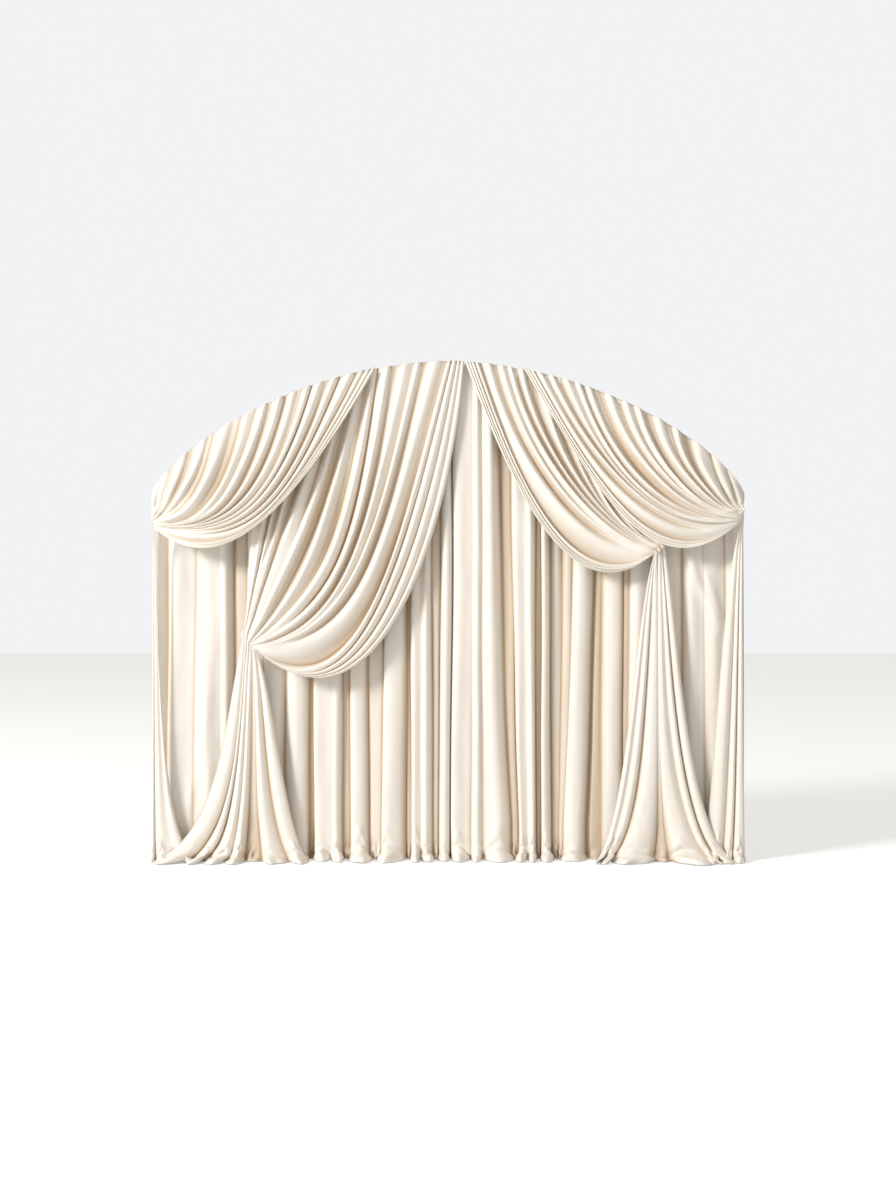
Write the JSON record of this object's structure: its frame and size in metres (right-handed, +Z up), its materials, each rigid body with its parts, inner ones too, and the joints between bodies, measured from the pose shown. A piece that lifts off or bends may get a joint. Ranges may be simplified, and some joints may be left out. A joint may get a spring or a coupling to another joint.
{
  "type": "velvet backdrop drape",
  "caption": "Arched velvet backdrop drape: a pleated back curtain with swagged panels drawn aside over it, pinched at the sides and falling to the floor.",
  "frame": {"origin": "crown of the arched top edge, in the upright plane that touches the cloth from behind", "axes": "+X to the right of someone who looks at the front, -Y out of the front, +Z up"},
  "size_m": [2.8, 0.2312, 2.3569],
  "materials": {
    "velvet": "cream velvet with a short pile and a soft sheen",
    "tie_velvet": "the same velvet, twisted tight and a little darker"
  },
  "bodies": {
    "root": {"back_curtain": "velvet", "panel_left_inner": "velvet", "panel_right_inner": "velvet", "panel_left_outer": "velvet", "panel_right_outer": "velvet", "twisted_tie": "tie_velvet"}
  },
  "joints": []
}
